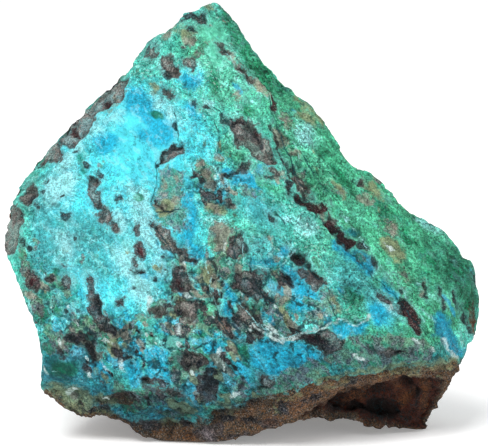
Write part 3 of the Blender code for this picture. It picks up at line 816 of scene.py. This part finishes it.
def relief_heights(points, fields, crack, relief):
    """Height of the fine relief at each point, in mm."""
    scale = 1 / MM
    rough = smooth_step(-0.4, 0.6, np.maximum(fields["rock"], fields["rim"]))
    rough += 0.6 * smooth_step(-0.5, 1.5, fields["cavity"])
    ribs = smooth_step(-3.0, 3.0, fields["green"])
    swell = noise_at(points, 9.0, (1.2, 4.5, 8.8), 3)
    lumps = noise_at(points, 3.2, (7.2, 0.5, 3.8), 4)
    grain = noise_at(points, 1.1, (2.2, 6.5, 9.8), 2)
    furrows = np.abs(noise_at(flow_places(points, 0.16), 1.6, (5.5, 1.1, 0.4), 3))
    pits = smooth_step(0.42, 0.75, noise_at(points, 1.7, (8.3, 3.7, 2.6), 2))
    height = relief.swell * scale * swell
    height += relief.lumps * scale * lumps * (0.7 + 0.9 * rough)
    height += relief.grain * scale * grain * (0.7 + 1.1 * rough)
    height -= relief.ribs * scale * (0.4 + 0.9 * ribs) * (1 - np.minimum(furrows * 3.5, 1))
    height -= relief.pits * scale * pits
    height *= 1 - 0.6 * smooth_step(-1.5, 1.5, fields["smooth"])
    height -= relief.crack * scale * crack[1] * (1 - smooth_step(0.0, 0.55, np.abs(crack[0])))
    chunky = smooth_step(-3.0, 3.0, fields["mottle"])
    apart = smooth_step(0.0, 0.5, fields["chunk_edge"])
    height += relief.chunks * scale * chunky * ((fields["chunk"] - 0.5) * apart - 0.35 * (1 - apart))
    for kind, (sunk, width) in SUNK.items():
        height -= sunk * smooth_step(-width, width, fields[kind] + 0.5 * lumps)
    return height


def divided_copy(node):
    """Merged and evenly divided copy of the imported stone, with its edges eased."""
    bm = bmesh.new()
    bm.from_mesh(node.data)
    bmesh.ops.remove_doubles(bm, verts=bm.verts, dist=MERGE_WITHIN)
    bmesh.ops.subdivide_edges(bm, edges=bm.edges, cuts=SUBDIVISIONS, use_grid_fill=True)
    for _ in range(EASINGS):
        bmesh.ops.smooth_vert(
            bm, verts=bm.verts, factor=0.5, use_axis_x=True, use_axis_y=True, use_axis_z=True
        )
    bmesh.ops.triangulate(bm, faces=bm.faces)
    bm.normal_update()
    return bm


def weathered_stone(relief):
    """The stone's mesh with its relief, and the mineral fields on its points."""
    bm = divided_copy(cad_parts[NODE])
    points = np.array([v.co for v in bm.verts]) / MM
    normals = np.array([v.normal for v in bm.verts])
    fields = mineral_fields(points, normals)
    crack = line_fields(points, normals, CRACKS, 0.7)
    seam = line_fields(points, normals, SEAMS, 1.4)
    height = relief_heights(points, fields, crack, relief)
    lowered = ledge_depths(points, normals)
    settled = smooth_step(*FEET, points[:, 2])
    moved = points + normals * ((height - lowered - SUNK_SKIN) * settled)[:, None]
    lowest, highest = np.array(CAD_BOX) / MM
    moved = np.clip(moved, lowest, highest)
    for vert, place in zip(bm.verts, moved):
        vert.co = place * MM
    mesh = bpy.data.meshes.new("stone_surface")
    bm.to_mesh(mesh)
    bm.free()
    mesh.shade_smooth()
    fields.update(crack_side=crack[0], crack_near=crack[1], seam_side=seam[0], seam_near=seam[1],
                  height=height)
    for name, values in fields.items():
        mesh.attributes.new(name, "FLOAT", "POINT").data.foreach_set("value", values.astype(np.float32))
    return mesh


class Finish:
    """Adds nodes to a material and joins them up."""

    def __init__(self, name):
        self.material = bpy.data.materials.new(name)
        self.material.use_nodes = True
        self.tree = self.material.node_tree
        self.tree.nodes.clear()

    def add(self, kind, **settings):
        """New node with its settings."""
        node = self.tree.nodes.new(kind)
        for name, value in settings.items():
            setattr(node, name, value)
        return node

    def put(self, socket, value):
        """Joins a socket to another, or gives it a plain value."""
        if isinstance(value, bpy.types.NodeSocket):
            self.tree.links.new(value, socket)
        else:
            socket.default_value = (*value, 1.0) if socket.type == "RGBA" else value

    def shader(self, colour, **settings):
        """The surface's shader, with plain settings by their names."""
        shader = self.add("ShaderNodeBsdfPrincipled")
        self.put(shader.inputs["Base Color"], colour)
        for name, value in settings.items():
            shader.inputs[name.replace("_", " ")].default_value = value
        output = self.add("ShaderNodeOutputMaterial")
        self.put(output.inputs["Surface"], shader.outputs[0])
        return shader


class StoneFinish(Finish):
    """Material of the stone: minerals laid over each other by their fields, with grain and cracks."""

    def __init__(self, colours):
        super().__init__("chrysocolla_ore")
        self.colours = colours
        place = self.scaled(self.add("ShaderNodeTexCoord").outputs["Object"], 1 / MM)
        bent = self.shifted(place, self.scaled(self.cloud(place, "bend").colour, BEND))
        self.big = self.cloud(bent, "big")
        self.middle = self.cloud(bent, "middle")
        self.fine = self.cloud(place, "fine")
        self.grain = self.cloud(place, "grain")
        turned = self.add("ShaderNodeMapping", vector_type="TEXTURE")
        self.put(turned.inputs["Vector"], bent)
        turned.inputs["Rotation"].default_value = (0.0, math.radians(FLOW_TURN), 0.0)
        turned.inputs["Scale"].default_value = (FLOW_STRETCH, 1.0, 1.0)
        self.flow = self.cloud(turned.outputs[0], "flow")
        self.height = self.field("height")
        self.strewn = self.cover("mottle")
        # Where the painted shade low down lies, on the lower face where it turns under.
        self.shade = self.cover("deep", edge=SHADE_EDGE)

        self.lay_skins()
        self.mottle_skins()
        self.lay_rocks()
        self.lay_grit_and_shade()
        lines = self.lay_lines()
        self.light_up(lines)

    def scaled(self, vector, scale):
        """A vector made longer or shorter."""
        node = self.add("ShaderNodeVectorMath", operation="SCALE")
        self.put(node.inputs[0], vector)
        node.inputs["Scale"].default_value = scale
        return node.outputs["Vector"]

    def shifted(self, vector, shift):
        """A vector with another added."""
        node = self.add("ShaderNodeVectorMath", operation="ADD")
        self.put(node.inputs[0], vector)
        self.put(node.inputs[1], shift)
        return node.outputs["Vector"]

    def cloud(self, place, name):
        """One of the clouds of noise, read at a place."""
        width, detail, roughness, shift = CLOUDS[name]
        node = self.add("ShaderNodeTexNoise", noise_dimensions="3D", normalize=True)
        self.put(node.inputs["Vector"], self.shifted(place, shift))
        node.inputs["Scale"].default_value = 1 / width
        node.inputs["Detail"].default_value = detail
        node.inputs["Roughness"].default_value = roughness
        parts = self.add("ShaderNodeSeparateColor")
        self.put(parts.inputs[0], node.outputs["Color"])
        return Cloud(node.outputs["Fac"], parts.outputs, node.outputs["Color"])

    def math(self, operation, *values):
        """Sum, product or other operation on numbers."""
        node = self.add("ShaderNodeMath", operation=operation)
        for socket, value in zip(node.inputs, values):
            self.put(socket, value)
        return node.outputs[0]

    def product(self, first, *others):
        """Product of some numbers."""
        for other in others:
            first = self.math("MULTIPLY", first, other)
        return first

    def centred(self, value, spread, lean=0.0):
        """A noise value spread around a middle, in mm."""
        return self.math("MULTIPLY_ADD", value, spread, lean - 0.5 * spread)

    def rise(self, value, low, high, to_low=0.0, to_high=1.0):
        """Smooth rise of a value between two limits."""
        node = self.add("ShaderNodeMapRange", interpolation_type="SMOOTHSTEP")
        for socket, number in zip(node.inputs, (value, low, high, to_low, to_high)):
            self.put(socket, number)
        return node.outputs["Result"]

    def field(self, name):
        """A number stored on the mesh."""
        return self.add("ShaderNodeAttribute", attribute_name=name).outputs["Fac"]

    def blend(self, share, first, second, kind="MIX"):
        """Mix of two colours."""
        node = self.add("ShaderNodeMix", data_type="RGBA", blend_type=kind)
        self.put(node.inputs["Factor"], share)
        self.put(node.inputs[6], first)
        self.put(node.inputs[7], second)
        return node.outputs[2]

    def lay(self, share, colour, kind="MIX"):
        """Lays a colour over the skin."""
        self.skin = self.blend(share, self.skin, colour, kind)

    def cover(self, kind, much=1.0, lean=0.0, edge=None):
        """Share of a kind at each point, with a soft, ragged edge that may lean outwards."""
        soft, wide, close, channel = edge or EDGES[kind]
        reach = self.math("ADD", self.field(kind), self.centred(self.middle.parts[channel], wide, lean))
        reach = self.math("ADD", reach, self.centred(self.fine.parts[channel], close))
        return self.rise(reach, -soft, soft, 0.0, much)

    def colour(self, name, share=1.0):
        """A mineral's colour, dimmed or brightened."""
        return tuple(min(value * share, 1.0) for value in getattr(self.colours, name))

    def shaded(self, name, low, high, share):
        """A mineral's colour that runs between a darker and a lighter shade."""
        return self.blend(share, self.colour(name, low), self.colour(name, high))

    def mottled(self, name, low, high, sharp=1.0):
        """A rock's colour, mottled in clods and specks."""
        coarse = self.shaded(name, low, high, self.rise(self.middle.parts[0], 0.42, 0.58))
        speck = self.rise(self.grain.parts[0], 0.44, 0.56)
        fleck = self.shaded(name, low * 0.3, high * 1.6, speck)
        blot = self.rise(self.fine.parts[2], 0.42, 0.58)
        return self.blend(self.rise(blot, 0.0, 1.0, 0.35 * sharp, 0.95 * sharp), coarse, fleck)

    def lay_minerals(self, layers):
        """Lays skins or veins over each other."""
        for kind, much, low, high, cloud, channel, half in layers:
            noises = getattr(self, cloud)
            value = noises.value if channel is None else noises.parts[channel]
            share = self.rise(value, 0.5 - half, 0.5 + half)
            self.lay(self.cover(kind, much), self.shaded(kind, low, high, share))

    def lay_skins(self):
        """The blue and green skins, small chunks of them where they are mottled, and the veins."""
        self.skin = self.shaded("teal", 0.74, 1.2, self.rise(self.middle.value, 0.3, 0.7))
        self.lay_minerals(SKINS)
        pick = self.field("chunk")
        chunk = self.colour("azure")
        for low, name in CHUNK_COLOURS:
            chunk = self.blend(self.rise(pick, low, low + CHUNK_FADE), chunk, self.colour(name))
        self.lay(self.product(self.strewn, self.rise(self.big.parts[1], 0.4, 0.6, 0.25, 0.8)), chunk)
        self.lay_minerals(VEINS)

    def mottle_skins(self):
        """Chalky and dark mottling, in clouds, along the flow and in clusters of flecks."""
        bright = self.cover("cyan", 0.8)
        still = self.math("MAXIMUM", self.cover("smooth", 0.85), self.product(bright, 0.4))
        still = self.math("MAXIMUM", still, self.cover("azure", 0.5))
        lively = self.math("SUBTRACT", 1.0, still)
        # Chalky and white flecks are held back in the painted shade low down and on the green.
        shade_or_green = self.math("MAXIMUM", self.shade, self.cover("green"))
        clear_of_shade_and_green = self.math("SUBTRACT", 1.0, self.product(shade_or_green, 0.75))
        clean = self.math("SUBTRACT", clear_of_shade_and_green, self.product(clear_of_shade_and_green, bright))
        self.lay(self.product(clear_of_shade_and_green, self.rise(self.flow.parts[0], 0.53, 0.6, 0.0, 0.3)), self.colour("pale"))
        self.lay(self.product(lively, self.rise(self.flow.parts[2], 0.54, 0.6, 0.0, 0.4)),
                 self.colour("green", 0.5))
        self.lay(self.product(lively, self.rise(self.middle.parts[2], 0.55, 0.6, 0.0, 0.3)),
                 self.colour("teal", 0.7))
        tone = self.product(
            self.rise(self.middle.value, 0.38, 0.62, 0.9, 1.1),
            self.rise(self.fine.value, 0.4, 0.58, 0.76, 1.18),
            self.rise(self.grain.value, 0.4, 0.56, 0.5, 1.3),
            self.rise(self.flow.value, 0.4, 0.6, 0.87, 1.14),
        )
        self.lay(lively, self.blend(1.0, self.skin, tone, "MULTIPLY"))
        dark_flecks = self.product(
            lively, self.rise(self.big.parts[2], 0.42, 0.54, 0.35, 1.0),
            self.rise(self.fine.parts[1], 0.54, 0.58, 0.0, 0.95),
        )
        self.lay(dark_flecks, FLECK_TINT, "MULTIPLY")
        white_flecks = self.product(
            clean, lively, self.rise(self.big.parts[0], 0.44, 0.58, 0.1, 1.0),
            self.rise(self.fine.parts[0], 0.56, 0.6, 0.0, 0.45),
        )
        self.lay(white_flecks, self.colour("white"))

    def lay_rocks(self):
        """Rock that shows where the skin is missing, with a chalky lip and painted shade at the foot of its
        edge, and near black painted shadow in the hollows.
        """
        self.lay(self.cover("bare", 0.2, 0.55, LIP_EDGE), self.colour("pale"))
        self.lay(self.rise(self.height, 0.05, 0.6, 0.0, 0.2), self.colour("pale"))
        moss = self.blend(self.rise(self.middle.parts[2], 0.46, 0.54), self.mottled("moss", 0.5, 1.5, 0.7),
                          self.mottled("brown", 0.5, 1.7))
        moss = self.blend(self.rise(self.flow.parts[0], 0.52, 0.58, 0.0, 0.8), moss,
                          self.shaded("forest", 0.6, 1.6, self.rise(self.fine.value, 0.4, 0.6)))
        self.lay(self.cover("moss", 0.74), moss)
        self.lay_layers_of_rock(ROCKS)
        # Painted shadow: near black in the hollows of the undercut.
        self.lay(self.cover("hollow", 0.94), self.colour("cavity", 0.12))
        self.lay_layers_of_rock(ORES)

        # Dark joins between the mottled chunks, and painted shade at the foot of each step down to bare rock.
        join = self.math("ADD", self.field("chunk_edge"), self.centred(self.fine.parts[2], 0.7))
        join = self.product(self.rise(join, 0.05, 0.26, 0.9, 0.0), self.strewn,
                            self.rise(self.middle.parts[1], 0.38, 0.52, 0.2, 1.0))
        self.lay(join, self.colour("deep", 0.18))
        flat = self.cover("bare", 1.0, -0.5, FLAT_EDGE)
        foot = self.product(self.cover("bare", 0.8, 0.05, STEP_FOOT_SHADE_EDGE), self.math("SUBTRACT", 1.0, flat))
        self.lay(foot, STEP_FOOT_SHADE_TINT, "MULTIPLY")

    def lay_layers_of_rock(self, layers):
        """Lays rocks over each other, veiled by thin skin where they are."""
        thin_skin = self.rise(self.middle.parts[1], 0.4, 0.56, 0.95, 0.66)
        for kind, much, veiled, low, high, sharp in layers:
            share = self.cover(kind, self.product(thin_skin, much) if veiled else much)
            self.lay(share, self.mottled(kind, low, high, sharp))

    def lay_grit_and_shade(self):
        """Nearly black and nearly white grit on the rock, painted shade in the low places of the relief, and
        painted shade on the lower face and in the marks of broad shade.
        """
        worn = self.rise(self.math("MAXIMUM", self.field("bare"), self.field("rim")), -0.4, 0.4)
        worn = self.product(worn, self.math("SUBTRACT", 1.0, self.cover("cavity", 0.85)))
        self.lay(self.product(worn, self.rise(self.grain.parts[1], 0.56, 0.61, 0.0, 0.42)), self.colour("grit"))
        self.lay(self.product(worn, self.rise(self.grain.parts[2], 0.53, 0.58, 0.0, 0.7)),
                 self.colour("dark", 0.4))
        # Painted shade in the low places of the relief.
        self.lay(self.rise(self.height, -0.9, -0.15, 0.7, 0.0), RECESS_SHADE_TINT, "MULTIPLY")
        # Painted shade on the lower face where it turns under, held back where azure shows.
        unveiled = self.math("SUBTRACT", 0.74, self.cover("azure", 0.45))
        self.lay(self.product(self.shade, unveiled), LOW_SHADE_TINT, "MULTIPLY")
        # Painted shade where the marks of broad shade lie.
        self.lay(self.cover("gloom", 0.62), PAINTED_SHADE_TINT, "MULTIPLY")

    def drawn(self, name, half_wide):
        """Share of a drawn line at each point, wavering and broken."""
        waver = self.centred(self.fine.parts[0], 0.6)
        off = self.math("ABSOLUTE", self.math("ADD", self.field(name + "_side"), waver))
        return self.product(self.rise(off, half_wide * 0.4, half_wide, 0.85, 0.0), self.field(name + "_near"),
                            self.rise(self.middle.parts[0], 0.4, 0.55, 0.25, 1.0))

    def lay_lines(self):
        """Seams, crust, drawn cracks, and hairlines where a cloud passes through its middle value."""
        self.lay(self.product(self.drawn("seam", SEAM_WIDE), self.rise(self.fine.parts[2], 0.44, 0.54)),
                 self.colour("pale"))
        sparkle = self.math("MAXIMUM", self.rise(self.grain.parts[0], 0.48, 0.56),
                            self.rise(self.fine.parts[1], 0.5, 0.56))
        self.lay(self.product(self.cover("crust", 0.8), self.rise(sparkle, 0.0, 1.0, 0.3, 1.0)),
                 self.colour("white"))
        thin = self.math("ABSOLUTE", self.math("SUBTRACT", self.flow.parts[1], 0.5))
        hair = self.product(self.rise(thin, 0.002, 0.012, 0.7, 0.0), self.rise(self.big.parts[0], 0.46, 0.58))
        lines = self.math("MAXIMUM", self.drawn("crack", CRACK_WIDE), hair)
        self.lay(lines, self.colour("deep", 0.3))
        return lines

    def light_up(self, lines):
        """The shader, with its roughness and its bumps."""
        shader = self.shader(self.skin, Specular_IOR_Level=SPECULAR)
        self.put(shader.inputs["Roughness"], self.rise(self.fine.value, 0.3, 0.7, 0.86, 0.58))
        bumps = self.math("MULTIPLY_ADD", self.grain.value, 0.5, self.fine.value)
        bumps = self.math("MULTIPLY_ADD", lines, -0.5, bumps)
        bumps = self.math("MULTIPLY_ADD", self.flow.value, 0.4, bumps)
        bump = self.add("ShaderNodeBump")
        bump.inputs["Strength"].default_value = BUMP
        bump.inputs["Distance"].default_value = BUMP_DEPTH
        self.put(bump.inputs["Height"], bumps)
        self.put(shader.inputs["Normal"], bump.outputs[0])


def show(name, mesh, material):
    """Links a mesh to the scene as an object with one material."""
    mesh.materials.append(material)
    piece = bpy.data.objects.new(name, mesh)
    bpy.context.scene.collection.objects.link(piece)
    return piece


def soft_light(name, place, aim, size, power):
    """Square lamp of soft light that looks at a point."""
    lamp = bpy.data.lights.new(name, "AREA")
    lamp.shape = "SQUARE"
    lamp.size = size
    lamp.energy = power
    light = bpy.data.objects.new(name, lamp)
    light.location = place
    light.rotation_euler = (Vector(aim) - Vector(place)).to_track_quat("-Z", "Y").to_euler()
    bpy.context.scene.collection.objects.link(light)


class CHRYSOCOLLA_OT_stone(bpy.types.Operator):
    """Build the stone's broken surface and lay its minerals on it"""

    bl_idname = "chrysocolla.stone"
    bl_label = "Stone"

    def execute(self, context):
        scene = context.scene
        mesh = weathered_stone(scene.chrysocolla_relief)
        stone = show("rough_stone", mesh, StoneFinish(scene.chrysocolla_colours).material)
        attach(stone, BODY)
        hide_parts(NODE)
        return {"FINISHED"}


class CHRYSOCOLLA_OT_stage(bpy.types.Operator):
    """Set up the pale floor, the soft light and the camera"""

    bl_idname = "chrysocolla.stage"
    bl_label = "Stage"

    def execute(self, context):
        scene = context.scene
        stage = scene.chrysocolla_stage
        bm = bmesh.new()
        bmesh.ops.create_grid(bm, x_segments=1, y_segments=1, size=stage.floor_size / 2)
        mesh = bpy.data.meshes.new("floor")
        bm.to_mesh(mesh)
        bm.free()
        finish = Finish("pale_floor")
        finish.shader(stage.floor[:], Roughness=0.9, Emission_Color=(1.0, 1.0, 1.0, 1.0),
                      Emission_Strength=FLOOR_GLOW)
        show("floor", mesh, finish.material)

        for name, (place, aim, size, power) in LAMPS.items():
            soft_light(name, place, aim, size, getattr(stage, power))
        world = bpy.data.worlds.new("studio")
        world.use_nodes = True
        background = world.node_tree.nodes["Background"]
        background.inputs["Color"].default_value = (1.0, 1.0, 1.0, 1.0)
        background.inputs["Strength"].default_value = stage.sky
        scene.world = world

        lens = bpy.data.cameras.new("eye")
        lens.sensor_fit = "HORIZONTAL"
        lens.sensor_width = SENSOR_WIDTH
        lens.lens = SENSOR_WIDTH * EYE_DISTANCE / (DRAWING_WIDTH * STEP)
        eye = bpy.data.objects.new("eye", lens)
        eye.location = eye_place() * MM
        eye.rotation_euler = (math.pi / 2 - LOOKING_DOWN, 0.0, 0.0)
        scene.collection.objects.link(eye)
        scene.camera = eye
        scene.view_settings.view_transform = "Standard"
        return {"FINISHED"}


class CHRYSOCOLLA_PT_panel(bpy.types.Panel):
    """Lists the stone and its stage"""

    bl_idname = "CHRYSOCOLLA_PT_panel"
    bl_label = "Rough Chrysocolla"
    bl_space_type = "VIEW_3D"
    bl_region_type = "UI"
    bl_category = "Chrysocolla"

    def draw(self, context):
        layout = self.layout
        for group in GROUPS:
            settings = getattr(context.scene, group)
            for name in settings.__annotations__:
                layout.prop(settings, name)
        layout.operator(CHRYSOCOLLA_OT_stone.bl_idname)
        layout.operator(CHRYSOCOLLA_OT_stage.bl_idname)


GROUPS = {
    "chrysocolla_colours": ChrysocollaColours,
    "chrysocolla_relief": ChrysocollaRelief,
    "chrysocolla_stage": ChrysocollaStage,
}
CLASSES = (*GROUPS.values(), CHRYSOCOLLA_OT_stone, CHRYSOCOLLA_OT_stage, CHRYSOCOLLA_PT_panel)


def register():
    for cls in CLASSES:
        bpy.utils.register_class(cls)
    for name, group in GROUPS.items():
        setattr(bpy.types.Scene, name, bpy.props.PointerProperty(type=group))


def unregister():
    for name in GROUPS:
        delattr(bpy.types.Scene, name)
    for cls in reversed(CLASSES):
        bpy.utils.unregister_class(cls)


def main():
    register()
    bpy.ops.chrysocolla.stone()
    bpy.ops.chrysocolla.stage()


if __name__ == "__main__":
    main()
